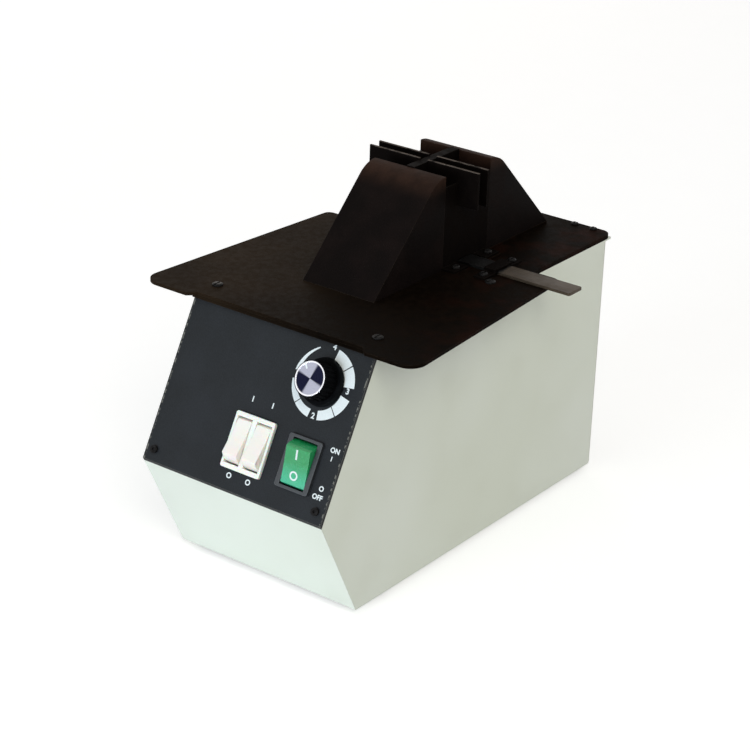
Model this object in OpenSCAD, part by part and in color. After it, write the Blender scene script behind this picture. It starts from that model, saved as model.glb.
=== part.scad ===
// Eyeglass frame warmer for a shop counter.
// X runs to the right as the user sees it, Y to the back and Z up. The origin lies on the counter,
// on the cabinet's middle plane, below its bottom front edge. Millimetres and degrees.

/* [Cabinet] */
// Width across the two sides
cab_w = 115; // [108:1:130]
// Height of the sides
cab_h = 135.5; // [130:0.5:150]
// Length of the bottom, front to back
cab_d = 216; // [208:1:240]
// How far the nose stands out in front of the bottom edge
nose_out = 30; // [24:1:36]
// Height of the nose above the bottom edge
nose_h = 59; // [52:1:62]
// How far the control panel's top edge lies behind the bottom edge
brow_in = 10.5; // [7:0.5:14]
// Thickness of every sheet-metal wall
sheet = 1.2; // [0.8:0.1:1.5]
// Width of the inner flanges
flange_w = 10; // [8:0.5:11]

/* [Feet] */
// Height of the gap under the cabinet
foot_h = 3; // [2:0.5:8]
// Diameter of a rubber foot
foot_d = 15; // [12:1:18]
// Distance from the cabinet's edges to a foot's middle
foot_inset = 20; // [19:1:24]

/* [Lid and shelf] */
// Thickness of the lid
lid_t = 2.4; // [1.5:0.1:3]
// How far the lid reaches past the cabinet's back
lid_lip = 7; // [5:0.5:10]
// How far the lid stands out over the control panel
lid_brow = 3; // [1:0.5:5]
// Corner radius at the lid's back
lid_r = 6; // [3:0.5:10]
// Thickness of the shelf
shelf_t = 1.7; // [1.2:0.1:2.5]
// Front edge of the shelf, behind the bottom front edge
shelf_y = 2; // [0:0.5:4]
// How far the shelf reaches behind the outlet slot's middle
shelf_past = 10; // [2:1:18]
// Width of the shelf's front edge
shelf_front_w = 172.5; // [160:0.5:190]
// Width of the shelf's back edge
shelf_back_w = 152; // [140:1:159]
// Corner radius at the shelf's front
shelf_front_r = 9; // [5:0.5:14]
// Corner radius at the shelf's back
shelf_back_r = 4; // [2:0.5:8]
// Width of the relief in the shelf's front edge
relief_w = 104; // [90:1:110]
// Depth of that relief
relief_d = 4.5; // [2:0.5:5]

/* [Tower] */
// Middle of the outlet slot, in front of the cabinet's back
slot_back = 84; // [80:1:88]
// Length of the slot between the two hoods, front to back
slot_d = 40; // [38:0.5:44]
// Width of the hoods
tower_w = 45.5; // [44:0.5:52]
// Height of the hoods
hood_h = 51; // [46:1:60]
// Radius of the hoods' crests
crest_r = 18; // [12:1:24]
// Slope of the hoods above the shelf
hood_slope = 45; // [42:1:50]
// Height of the plates that close the slot's ends
chimney_h = 45; // [40:1:45]

/* [Fins] */
// Length of a fin
fin_l = 70; // [60:1:80]
// Height of a fin
fin_h = 20; // [16:1:24]
// Thickness of a fin
fin_t = 1.2; // [0.8:0.1:2]
// How far the fins stand above the hoods
fin_rise = 1.6; // [1:0.1:4]
// Distance between the fins, the rear one on the slot's middle
fin_pitch = 8; // [6:0.5:9]
// Width of the bridge that crosses the fins
bridge_w = 5; // [4:0.5:8]
// Height of the bridge
bridge_h = 6; // [4:0.5:8]

/* [Damper] */
// Width of an air slot, which is also the damper's travel
port_w = 6; // [5:0.1:6]
// Length of an air slot, front to back
port_l = 34; // [30:0.5:34]
// Thickness of the damper and its lever
damper_t = 1.5; // [1:0.1:2]
// Width of the lever
lever_w = 12; // [9:0.5:13]
// Distance from the middle plane to the lever's end
lever_reach = 92; // [86:1:100]
// Distance from the middle plane to the lever's guide
guide_x = 44; // [43:0.5:44]
// Width of the guide along the lever
guide_w = 7; // [5:0.5:7]

/* [Control panel] */
// Thickness of the control panel
panel_t = 1.5; // [1:0.1:2.5]
// Knob's place across the panel
knob_u = 33.3; // [28:0.1:34]
// Knob's place down the panel from its upper edge
knob_drop = 20.5; // [18.5:0.5:24.5]
// Lean of the knob's pointer, from straight up, with the knob at its cool end
pointer_lean = 40; // [20:1:45]
// Double switch's place across the panel
white_u = 3.1; // [0:0.1:4]
// Double switch's place up the panel
white_v = 25; // [24:0.1:30]
// Single switch's place across the panel
green_u = 35.2; // [33:0.1:36]
// Single switch's place up the panel
green_v = 24.7; // [24:0.1:30]
// Panel screws' distance from the middle plane
panel_screw_u = 52; // [51.5:0.1:52.5]
// Panel screws' distance up the panel
panel_screw_v = 6; // [5:0.5:9]

/* [Knob] */
// Diameter of the knob's skirt
skirt_d = 24.5; // [22:0.5:28]
// Diameter of the grip at its top
grip_d = 18.4; // [16:0.2:20]
// Diameter of the grip at its foot
grip_foot_d = 20; // [18:0.2:21]
// Height of the knob
knob_h = 12; // [11:0.5:16]
// Diameter of the aluminium cap
cap_d = 17.2; // [12:0.2:17.4]
// Number of ribs round the grip
knob_ribs = 24; // [12:1:28]
// Diameter of the control's shaft
spindle_d = 6; // [5:0.1:6.2]

/* [Switches] */
// Width of the double switch's frame
white_w = 24.6; // [24.2:0.2:27]
// Height of the double switch's frame
white_h = 28.8; // [28:0.2:32]
// Width of the single switch's frame
green_w = 20.2; // [19:0.2:21]
// Height of the single switch's frame
green_h = 26.8; // [26.4:0.2:30]
// Thickness of a switch frame's rim on the panel
rim_t = 1.8; // [1.2:0.1:2.4]
// Length of the openings for the rockers
opening_h = 24; // [22:0.2:24.4]
// Width of one white rocker
white_rocker_w = 9; // [8.4:0.1:9.2]
// Width of the green rocker
green_rocker_w = 14.6; // [13:0.1:15]
// Angle that a rocker turns from one end to the other
rocker_throw = 28; // [20:1:30]

/* [Blower] */
// Diameter of the blower wheel
wheel_d = 54; // [50:1:56]
// Length of the blower wheel
wheel_l = 29; // [26:0.5:30]
// Number of blades
blades = 28; // [20:1:32]
// Thickness of a blade
blade_t = 0.8; // [0.6:0.1:1]
// Gap between the wheel and the scroll's narrowest place
wheel_gap = 3.5; // [3:0.5:4]
// Growth of the scroll's radius in a quarter turn
scroll_step = 5; // [4:0.5:5.5]
// Inner width of the scroll, which the duct takes over
scroll_w = 34; // [33.5:0.5:36]
// Inner length of the duct, front to back
duct_d = 36; // [35:0.5:37]
// Diameter of the scroll's air intake
intake_d = 42; // [38:1:46]
// Height of the blower shaft above the counter
shaft_z = 47; // [46:0.5:50]
// Diameter of the blower shaft
shaft_d = 4; // [3:0.1:5]

/* [Motor] */
// Thickness of the motor's stack of plates
stack_t = 16; // [12:0.5:17]
// Width of the stack
stack_w = 50; // [48:1:54]
// Diameter of the rotor
rotor_d = 25; // [22:0.5:26]
// Distance from the shaft to each motor stud
stud_r = 20; // [18:0.5:21]

/* [Heater] */
// Height of the duct's lower end above the counter
duct_z = 92; // [88:1:96]
// Number of turns of heating wire
heater_turns = 5; // [3:1:6]
// Diameter of the wire's coil
wire_d = 1.2; // [0.8:0.1:1.6]

/* [Back] */
// Inlet's distance from the middle plane
inlet_x = 25; // [24:0.5:26]
// Inlet's height above the counter
inlet_z = 30; // [26:0.5:40]
// Number of slots in the back's grille
back_slots = 9; // [5:1:10]
// Number of slots in each row of the base
base_slots = 7; // [4:1:8]

/* [Hidden] */
$fn = 48;
eps = 0.01;

// Clearances
fit = 0.05;      // running fit and press seat, on the radius
slack = 0.3;     // loose seats and openings round a piece
guide_gap = 0.4; // over and beside the sliding lever

// Levels above the counter
floor_z = foot_h;
lid_z = floor_z + cab_h;
shelf_z = lid_z + lid_t;
tower_z = shelf_z + shelf_t;
base_z = floor_z + sheet;
side_x = cab_w / 2;
slot_y = cab_d - slot_back;
shelf_d = slot_y + shelf_past - shelf_y;

// Side view of the cabinet, as (y, z) over its bottom edge
nose = [-nose_out, nose_h];
brow = [brow_in, cab_h];
panel_l = norm(brow - nose);
panel_up = (brow - nose) / panel_l;
panel_in = [panel_up[1], -panel_up[0]];
knob_v = panel_l - knob_drop;
panel_lean = atan2(panel_up[0], panel_up[1]);
panel_foot = meet([0, 0], nose, nose + panel_in * panel_t, panel_up);
panel_head = meet([0, cab_h], [1, 0], nose + panel_in * panel_t, panel_up);
outline = [[0, 0], [cab_d, 0], [cab_d, cab_h], panel_head, panel_foot];
inner_line = inset(outline, sheet);
front_top = meet(inner_line[0], nose, panel_foot, panel_up);

// Screws: a pan head on a plain shank
screw_d = 3;
screw_head_d = 5.6;
screw_head_t = 1.8;
slot_cut = 0.9;

// Shelf and lid screws
shelf_screw_x = side_x - flange_w * 0.65;
shelf_screw_front = 18;
shelf_screw_back = 17;
shelf_screw_ys = [shelf_y + shelf_screw_front, slot_y - shelf_screw_back];
lid_screw_in = 10.5;
lid_screw_pitch = 12;
lid_screw_xs = [side_x - lid_screw_in - lid_screw_pitch, side_x - lid_screw_in];
lid_screw_y = cab_d + sheet + (lid_lip - sheet) / 2;
lid_screw_head_d = 4;

// Tower
tower_x = tower_w / 2;
hood_run = crest_r * sin(hood_slope) + (hood_h - crest_r + crest_r * cos(hood_slope)) / tan(hood_slope);
hood_screw_x = tower_x - 9;
hood_tab = 9;
fin_top = hood_h + fin_rise;
fin_bottom = fin_top - fin_h;
fin_ys = [-fin_pitch, 0];
bridge_drop = 1;
foot_tab_w = 8;
foot_tab_l = (slot_d - lever_w) / 2 - 2;
chimney_screw_x = tower_x + foot_tab_w * 0.6;
chimney_screw_y = slot_d / 2 - foot_tab_l * 0.45;

// Damper: a ladder of bars that covers a ladder of ports
ports = 3;
port_span = (2 * ports - 1) * port_w;
damper_left = port_w - port_span / 2;
damper_right = port_w + port_span / 2;
damper_d = port_l + 3;
guide_l = lever_w + 22;
guide_screw_y = guide_l / 2 - 4;
guide_head_d = 4.4;

// Controls
bush_d = spindle_d + 2;
nut_w = 11;
nut_t = 2;
knob_gap = 0.6;
control_d = 24;
panel_screw_d = 2.5;
panel_screw_l = 6;
panel_screw_head_d = 4.2;
panel_screw_head_t = 1.2;
panel_screw_socket = 2;
control_t = 12;
spindle_out = knob_h - 2;
spindle_in = 3;
cap_t = 0.8;
skirt_t = 2.4;
rib_d = 1.2;
rib_end = 0.9;
pointer_w = 1.4;
switch_depth = 18;
terminal_l = 7;
terminal_t = 0.8;
terminal_w = 4.8;
switch_wall = 0.8;
white_web = 2.8;
rocker_gap = 0.2;
rocker_axis = -3.4;
rocker_pocket = 6.5;
rocker_reach = opening_h / 2 - slack;
rocker_face = 7.3;
rocker_dish = 0.4;
rocker_dish_r = pow(rocker_reach, 2) / (2 * rocker_dish);
rocker_drop = 3;
trunnion_d = 3;
trunnion_l = 0.5;
white_pitch = white_rocker_w + 2 * rocker_gap + white_web;

// Blower, seen from the side as (y, z) about its shaft
scroll_r = wheel_d / 2 + wheel_gap;
scroll_reach = scroll_r + 3 * scroll_step;
shaft_y = slot_y + scroll_reach - duct_d / 2;
scroll_x = scroll_w / 2;
neck_h = duct_z - shaft_z - sheet;
foot_w = 26;
foot_x = 9;
wheel_hub_d = 11;
wheel_rim = 5.5;
blade_r = 5.2;
blade_sweep = 74;
disc_t = 1.2;

// Motor, to the left of the scroll
bracket_t = 1.5;
boss_d = 11;
boss_l = 4.5;
motor_gap = 1.2;
stack_right = -(scroll_x + sheet + motor_gap + boss_l + bracket_t);
stack_left = stack_right - stack_t;
stack_foot = 18;
stack_top = 38;
limb = 8;
air_gap = 0.4;
coil_wall = 4.5;
stud_d = 3.4;
stud_nut_w = 6;
stud_nut_t = 2.5;
shaft_left = stack_left - bracket_t - boss_l - 1.5;
shaft_right = 10;

// Heater duct
duct_flange = 6;
card_t = 0.8;
card_h = 30;
card_z = duct_z + 6;
turn_pitch = card_h / (heater_turns + 1);
coil_r = scroll_x - 1.2 - wire_d / 2;
cutout_d = 13;
cutout_t = 6;
cutout_strap_w = 7;
cutout_ear = 6;
duct_screw_x = scroll_x + sheet + duct_flange / 2;
duct_screw_y = duct_d / 2 - 5;

// Mains inlet
inlet_w = 27;
inlet_h = 19.6;
inlet_depth = 20;
recess_w = 24;
recess_h = 16.6;
recess_depth = 15;
recess_bevel = 4;
inlet_flange_w = 50;
inlet_flange_h = 22.5;
inlet_flange_t = 2.5;
inlet_screw_pitch = 40;
pin_w = 2;
pin_h = 4;
pin_l = 17;
pin_pitch = 7;
pin_rise = 1;

// Grilles
vent_h = 3;
vent_pitch = 6.5;
back_vent_l = 64;
base_vent_l = 26;
base_vent_y = 60;
vent_drop = 22;
back_screw_foot = 12;
back_screw_head = 18;
back_screw_l = 6;
back_screw_z = [back_screw_foot, cab_h - back_screw_head];
back_screw_x = side_x - flange_w / 2 - sheet / 2;
base_screw_front = 24;
base_screw_back = 12;
base_screw_l = 5;
base_screw_ys = [base_screw_front, cab_d - base_screw_back];
base_screw_x = side_x - flange_w * 0.45;

// ---- Plane geometry ----

function cross_of(a, b) = a[0] * b[1] - a[1] * b[0];

// Where the line through p along u meets the line through q along v
function meet(p, u, q, v) = p + u * cross_of(q - p, v) / cross_of(u, v);

function unit(v) = v / norm(v);

// A closed outline, listed anticlockwise, moved inwards by d
function inset(points, d) = let (n = len(points)) [
    for (i = [0:n - 1]) let (
        before = unit(points[i] - points[(i + n - 1) % n]),
        after = unit(points[(i + 1) % n] - points[i]),
        normal_a = [-before[1], before[0]],
        normal_b = [-after[1], after[0]],
        middle = unit(normal_a + normal_b)
    ) points[i] + middle * d / (middle * normal_a)
];

// A convex outline whose corners have the given radii
module rounded(points, radii) {
    n = len(points);
    before = [for (i = [0:n - 1]) unit(points[(i + n - 1) % n] - points[i])];
    after = [for (i = [0:n - 1]) unit(points[(i + 1) % n] - points[i])];
    half = [for (i = [0:n - 1]) acos(before[i] * after[i]) / 2];
    polygon([
        for (i = [0:n - 1])
            for (way = [before[i], after[i]]) points[i] + way * radii[i] / tan(half[i])
    ]);
    for (i = [0:n - 1])
        translate(points[i] + unit(before[i] + after[i]) * radii[i] / sin(half[i]))
            circle(r = radii[i]);
}

module rounded_box(w, h, r) {
    rounded([[-w / 2, -h / 2], [w / 2, -h / 2], [w / 2, h / 2], [-w / 2, h / 2]], [r, r, r, r]);
}

module slot_2d(length, width) {
    square([length - width, width], center = true);
    for (side = [-1, 1])
        translate([side * (length - width) / 2, 0])
            circle(d = width);
}

// ---- Placing ----

// A drawing in (y, z), extruded along X and centred on x = 0
module along_x(length) {
    rotate([90, 0, 90])
        linear_extrude(length, center = true)
            children();
}

// A drawing in (x, z), extruded to the back from y = 0
module to_back(length) {
    rotate([90, 0, 0])
        mirror([0, 0, 1])
            linear_extrude(length)
                children();
}

module rod_x(d, from, to) {
    translate([from, 0, 0])
        rotate([0, 90, 0])
            cylinder(d = d, h = to - from);
}

module both_sides() {
    children();
    mirror([1, 0, 0])
        children();
}

// On the control panel: local X across it, Y up it and Z out of it
module on_panel(u = 0, v = 0) {
    translate([0, nose[0], floor_z + nose[1]])
        rotate([90 - panel_lean, 0, 0])
            translate([u, v, 0])
                children();
}

module at_slot(z = tower_z) {
    translate([0, slot_y, z])
        children();
}

module at_shaft() {
    translate([0, shaft_y, shaft_z])
        children();
}

// A screw whose head rests on z = 0 and whose shank points down
module screw(length, d = screw_d, head_d = screw_head_d, head_t = screw_head_t) {
    difference() {
        union() {
            cylinder(d = head_d, h = head_t * 0.6);
            translate([0, 0, head_t * 0.6])
                cylinder(d1 = head_d, d2 = head_d * 0.7, h = head_t * 0.4);
            translate([0, 0, -length])
                cylinder(d = d, h = length + eps);
        }
        translate([0, 0, head_t])
            cube([slot_cut, head_d * 2, head_t], center = true);
    }
}

module screw_hole(depth, d = screw_d) {
    translate([0, 0, -depth])
        cylinder(d = d + 2 * fit, h = 2 * depth);
}

// ---- Cabinet ----

module cabinet() {
    color("gainsboro")
        difference() {
            translate([0, 0, floor_z]) {
                both_sides() {
                    translate([side_x - sheet / 2, 0, 0])
                        along_x(sheet)
                            polygon(outline);
                    translate([side_x - flange_w / 2, 0, 0])
                        along_x(flange_w)
                            difference() {
                                polygon(outline);
                                polygon(inner_line);
                            }
                }
                along_x(cab_w)
                    polygon([outline[0], inner_line[0], front_top, panel_foot]);
            }
            both_sides() {
                for (y = shelf_screw_ys)
                    translate([shelf_screw_x, y, lid_z])
                        screw_hole(4);
                for (y = base_screw_ys)
                    translate([base_screw_x, y, floor_z])
                        screw_hole(4);
                for (z = back_screw_z)
                    translate([back_screw_x, cab_d, floor_z + z])
                        rotate([90, 0, 0])
                            screw_hole(4);
                on_panel(panel_screw_u, panel_screw_v)
                    screw_hole(5, d = panel_screw_d);
            }
        }
}

module base_plate() {
    front = inner_line[0][0] + slack;
    color("silver")
        difference() {
            translate([-side_x + sheet + slack, front, base_z])
                cube([cab_w - 2 * (sheet + slack), cab_d - sheet - slack - front, sheet]);
            for (row = [-1, 1], i = [0:base_slots - 1])
                translate([row * (base_vent_l / 2 + 4), base_vent_y + i * vent_pitch, base_z - eps])
                    linear_extrude(2 * sheet)
                        slot_2d(base_vent_l, vent_h);
            both_sides()
                for (y = base_screw_ys)
                    translate([base_screw_x, y, base_z])
                        screw_hole(4);
            scroll_screw_places()
                translate([0, 0, base_z])
                    screw_hole(4);
        }
}

module base_screws() {
    color("dimgray")
        both_sides()
            for (y = base_screw_ys)
                translate([base_screw_x, y, floor_z])
                    mirror([0, 0, 1])
                        screw(base_screw_l, head_t = 1.4);
}

module feet() {
    height = foot_h + sheet;
    color("black")
        both_sides()
            for (y = [foot_inset, cab_d - foot_inset])
                translate([side_x - foot_inset, y, 0]) {
                    cylinder(d1 = foot_d - 2, d2 = foot_d, h = 1);
                    translate([0, 0, 1])
                        cylinder(d = foot_d, h = height - 1);
                }
}

module back_panel() {
    gap = 0.5;
    color("gainsboro")
        difference() {
            translate([0, cab_d, floor_z]) {
                translate([-side_x + gap, 0, gap])
                    cube([cab_w - 2 * gap, sheet, cab_h - gap]);
                translate([-side_x + gap, 0, cab_h - sheet])
                    cube([cab_w - 2 * gap, lid_lip - gap, sheet]);
            }
            for (i = [0:back_slots - 1])
                translate([0, cab_d - 1, lid_z - vent_drop - i * vent_pitch])
                    to_back(sheet + 2)
                        slot_2d(back_vent_l, vent_h);
            both_sides() {
                for (z = back_screw_z)
                    translate([back_screw_x, cab_d, floor_z + z])
                        rotate([90, 0, 0])
                            screw_hole(4);
                for (x = lid_screw_xs)
                    translate([x, lid_screw_y, lid_z])
                        screw_hole(4, d = 2);
            }
            translate([inlet_x, cab_d - 1, inlet_z])
                to_back(sheet + 2)
                    square([inlet_w + 2 * fit, inlet_h + 2 * fit], center = true);
            inlet_screw_places()
                screw_hole(4);
        }
}

module back_screws() {
    color("dimgray")
        both_sides()
            for (z = back_screw_z)
                translate([back_screw_x, cab_d + sheet, floor_z + z])
                    rotate([-90, 0, 0])
                        screw(back_screw_l);
}

// ---- Lid and shelf ----

module lid() {
    front = brow[0] - lid_brow;
    back = cab_d + lid_lip;
    color("black")
        difference() {
            translate([0, 0, lid_z])
                linear_extrude(lid_t)
                    difference() {
                        rounded(
                            [[-side_x, front], [side_x, front], [side_x, back], [-side_x, back]],
                            [1, 1, lid_r, lid_r]
                        );
                        translate([0, slot_y])
                            square([scroll_w, duct_d], center = true);
                    }
            both_sides() {
                for (y = shelf_screw_ys)
                    translate([shelf_screw_x, y, lid_z])
                        screw_hole(4);
                for (x = lid_screw_xs)
                    translate([x, lid_screw_y, lid_z])
                        screw_hole(4, d = 2);
            }
            tower_holes();
            at_slot(lid_z)
                duct_screw_places()
                    screw_hole(4, d = 2);
        }
}

module lid_screws() {
    color("dimgray")
        both_sides()
            for (x = lid_screw_xs)
                translate([x, lid_screw_y, shelf_z])
                    screw(lid_t + sheet + 1, d = 2, head_d = lid_screw_head_d, head_t = 1.2);
}

module shelf() {
    front = shelf_front_w / 2;
    back = shelf_back_w / 2;
    relief = relief_w / 2;
    color([0.16, 0.13, 0.11])
        difference() {
            translate([0, shelf_y, shelf_z])
                linear_extrude(shelf_t)
                    difference() {
                        union() {
                            rounded(
                                [[-front, 0], [front, 0], [back, shelf_d], [-back, shelf_d]],
                                [shelf_front_r, shelf_front_r, shelf_back_r, shelf_back_r]
                            );
                            translate([0, slot_y - shelf_y])
                                tongue_2d();
                        }
                        polygon([
                            [-relief - relief_d, -eps], [relief + relief_d, -eps],
                            [relief, relief_d], [-relief, relief_d]
                        ]);
                        translate([0, slot_y - shelf_y])
                            ports_2d();
                    }
            both_sides()
                for (y = shelf_screw_ys)
                    translate([shelf_screw_x, y, tower_z])
                        screw_hole(4);
            tower_holes();
        }
}

// What the shelf carries behind its back edge: the slot's end walls and the rear hood
module tongue_2d() {
    shoulder = tower_x + foot_tab_w + 1;
    translate([-shoulder, 0])
        square([2 * shoulder, slot_d / 2 + 1]);
    translate([-tower_x, 0])
        square([tower_w, slot_d / 2 + hood_run]);
}

module ports_2d() {
    for (i = [0:ports - 1])
        translate([port_w * (2 * i - ports + 1), 0])
            square([port_w, port_l], center = true);
}

module shelf_screws() {
    color("dimgray")
        both_sides()
            for (y = shelf_screw_ys)
                translate([shelf_screw_x, y, tower_z])
                    screw(shelf_t + lid_t + sheet + 2, head_t = 1.2);
}

// Holes through lid and shelf for what holds the tower and the lever's guide
module tower_holes() {
    depth = lid_t + shelf_t + 1;
    at_slot() {
        hood_screw_places()
            screw_hole(depth);
        both_sides()
            chimney_screw_places()
                screw_hole(depth, d = 2.5);
        guide_screw_places()
            screw_hole(depth, d = 2.5);
    }
}

// ---- Tower ----

// Side view of the front hood, from its inner wall at 0 to its toe, shrunk by t
module hood_profile(t) {
    r = crest_r - t;
    centre = [0, hood_h - crest_r];
    touch = centre + r * [-sin(hood_slope), cos(hood_slope)];
    toe = touch[0] - touch[1] / tan(hood_slope);
    polygon([[toe, 0], touch, [-t, centre[1]], [-t, 0]]);
    intersection() {
        translate(centre)
            circle(r = r);
        polygon([[-t, centre[1] - eps], centre + 2 * (touch - centre), [-t, centre[1] + 2 * r]]);
    }
    if (t > 0)
        translate([toe, -1])
            square([-t - toe, 1 + eps]);
}

module hood() {
    tab_z = sheet;
    difference() {
        union() {
            difference() {
                along_x(tower_w)
                    hood_profile(0);
                along_x(tower_w - 2 * sheet)
                    hood_profile(sheet);
            }
            intersection() {
                along_x(tower_w)
                    hood_profile(0);
                translate([-tower_x, -hood_run, 0])
                    cube([tower_w, hood_tab + sheet, tab_z]);
            }
        }
        for (side = [-1, 1])
            translate([side * hood_screw_x, -hood_run + hood_tab * 0.7, 0])
                screw_hole(3);
    }
}

module hood_screw_places() {
    for (face = [-1, 1], side = [-1, 1])
        translate([side * hood_screw_x, face * (slot_d / 2 + hood_run - hood_tab * 0.7), 0])
            children();
}

module front_hood() {
    color([0.13, 0.11, 0.1])
        at_slot()
            translate([0, -slot_d / 2, 0])
                hood();
}

module rear_hood() {
    color([0.13, 0.11, 0.1])
        at_slot()
            mirror([0, 1, 0])
                translate([0, -slot_d / 2, 0])
                    hood();
}

module hood_screws() {
    color("dimgray")
        at_slot(lid_z)
            hood_screw_places()
                mirror([0, 0, 1])
                    screw(lid_t + shelf_t + sheet + 2);
}

// One end wall of the slot, on the right, with its foot tabs
module chimney_plate(lever_gap) {
    difference() {
        union() {
            translate([tower_x - sheet / 2, 0, 0])
                along_x(sheet)
                    translate([-slot_d / 2, 0])
                        square([slot_d, chimney_h]);
            for (side = [-1, 1])
                translate([tower_x - sheet / 2, side * slot_d / 2 - (side + 1) / 2 * foot_tab_l, 0])
                    cube([foot_tab_w + sheet / 2, foot_tab_l, sheet]);
        }
        for (y = fin_ys)
            translate([0, y - fin_t / 2 - fit, fin_bottom])
                cube([2 * tower_x, fin_t + 2 * fit, fin_h]);
        if (lever_gap)
            translate([0, -lever_w / 2 - guide_gap, -eps])
                cube([2 * tower_x, lever_w + 2 * guide_gap, damper_t + guide_gap + eps]);
        chimney_screw_places()
            screw_hole(4, d = 2.5);
    }
}

module chimney_screw_places() {
    for (side = [-1, 1])
        translate([chimney_screw_x, side * chimney_screw_y, 0])
            children();
}

module chimney_right() {
    color([0.12, 0.1, 0.09])
        at_slot()
            chimney_plate(true);
}

module chimney_left() {
    color([0.12, 0.1, 0.09])
        at_slot()
            mirror([1, 0, 0])
                chimney_plate(false);
}

module chimney_screws() {
    color("gray")
        at_slot(tower_z + sheet)
            both_sides()
                chimney_screw_places()
                    screw(sheet + shelf_t + lid_t, d = 2.5, head_d = 4.2, head_t = 1.4);
}

// ---- Fins ----

module fin(y) {
    notch_d = bridge_h + bridge_drop;
    color([0.2, 0.18, 0.17])
        at_slot()
            translate([0, y - fin_t / 2, 0])
                to_back(fin_t)
                    difference() {
                        translate([-fin_l / 2, fin_bottom])
                            square([fin_l, fin_h]);
                        translate([-bridge_w / 2 - fit, fin_top - notch_d])
                            square([bridge_w + 2 * fit, notch_d + 1]);
                    }
}

module fin_front() {
    fin(fin_ys[0]);
}

module fin_rear() {
    fin(fin_ys[1]);
}

module fin_bridge() {
    color([0.1, 0.09, 0.08])
        at_slot()
            translate([-bridge_w / 2, -slot_d / 2, fin_top - bridge_drop - bridge_h])
                cube([bridge_w, slot_d, bridge_h]);
}

// ---- Damper ----

// The ports stand open at rest; pushing the lever in by one port's width closes them
module damper() {
    color([0.5, 0.48, 0.43])
        at_slot()
            linear_extrude(damper_t)
                difference() {
                    union() {
                        translate([damper_left, -damper_d / 2])
                            square([damper_right - damper_left, damper_d]);
                        rounded(
                            [
                                [damper_right - 1, -lever_w / 2], [lever_reach, -lever_w / 2],
                                [lever_reach, lever_w / 2], [damper_right - 1, lever_w / 2]
                            ],
                            [0.5, 1, 1, 0.5]
                        );
                    }
                    ports_2d();
                }
}

// A strap that bridges the lever, with a foot on each side
module lever_guide() {
    rise = damper_t + guide_gap;
    color([0.1, 0.09, 0.08])
        at_slot()
            difference() {
                translate([guide_x, 0, 0])
                    along_x(guide_w)
                        difference() {
                            union() {
                                translate([-guide_l / 2, 0])
                                    square([guide_l, sheet]);
                                translate([-lever_w / 2 - guide_gap - sheet, 0])
                                    square([lever_w + 2 * (guide_gap + sheet), rise + sheet]);
                            }
                            translate([-lever_w / 2 - guide_gap, -eps])
                                square([lever_w + 2 * guide_gap, rise + eps]);
                        }
                guide_screw_places()
                    screw_hole(4, d = 2.5);
            }
}

module guide_screw_places() {
    for (side = [-1, 1])
        translate([guide_x, side * guide_screw_y, 0])
            children();
}

module guide_screws() {
    color("gray")
        at_slot(tower_z + sheet)
            guide_screw_places()
                screw(sheet + shelf_t + lid_t, d = 2.5, head_d = guide_head_d, head_t = 1.4);
}

// ---- Control panel ----

module control_panel() {
    color([0.2, 0.21, 0.23])
        difference() {
            translate([0, 0, floor_z])
                along_x(cab_w)
                    polygon([panel_foot, nose, brow, panel_head]);
            both_sides()
                on_panel(panel_screw_u, panel_screw_v)
                    screw_hole(4, d = panel_screw_d);
            on_panel(knob_u, knob_v)
                screw_hole(4, d = bush_d);
            on_panel(white_u, white_v)
                switch_window(white_pitch + opening_w(white_rocker_w));
            on_panel(green_u, green_v)
                switch_window(opening_w(green_rocker_w));
        }
}

// Hole in the panel for a switch whose rocker openings span w
module switch_window(w) {
    grow = 2 * (switch_wall + fit);
    translate([0, 0, -panel_t])
        cube([w + grow, opening_h + grow, 4 * panel_t], center = true);
}

module panel_screws() {
    color("dimgray")
        for (side = [-1, 1])
            on_panel(side * panel_screw_u, panel_screw_v)
                difference() {
                    union() {
                        cylinder(d = panel_screw_head_d, h = panel_screw_head_t);
                        translate([0, 0, -panel_screw_l])
                            cylinder(d = panel_screw_d, h = panel_screw_l + eps);
                    }
                    translate([0, 0, panel_screw_head_t / 2])
                        cylinder(d = panel_screw_socket, h = panel_screw_head_t, $fn = 6);
                }
}

// ---- Speed control and knob ----

module speed_control() {
    color("lightgray")
        on_panel(knob_u, knob_v)
            difference() {
                union() {
                    translate([0, 0, -panel_t - control_t])
                        cylinder(d = control_d, h = control_t);
                    translate([0, 0, -panel_t - eps])
                        cylinder(d = bush_d, h = panel_t + nut_t + 0.6 + eps);
                    for (i = [-1:1])
                        translate([i * 5 - 1, -control_d / 2 - 6, -panel_t - control_t])
                            cube([2, 10, terminal_t]);
                }
                translate([0, 0, -panel_t - spindle_in - fit])
                    cylinder(d = spindle_d + 2 * fit, h = panel_t + nut_t + spindle_in + 4);
            }
}

module control_nut() {
    color("silver")
        on_panel(knob_u, knob_v)
            difference() {
                cylinder(d = nut_w / cos(30), h = nut_t, $fn = 6);
                translate([0, 0, -1])
                    cylinder(d = bush_d + 2 * fit, h = nut_t + 2);
            }
}

module control_shaft() {
    color("silver")
        on_panel(knob_u, knob_v)
            translate([0, 0, -panel_t - spindle_in])
                cylinder(d = spindle_d, h = panel_t + spindle_in + spindle_out);
}

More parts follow.
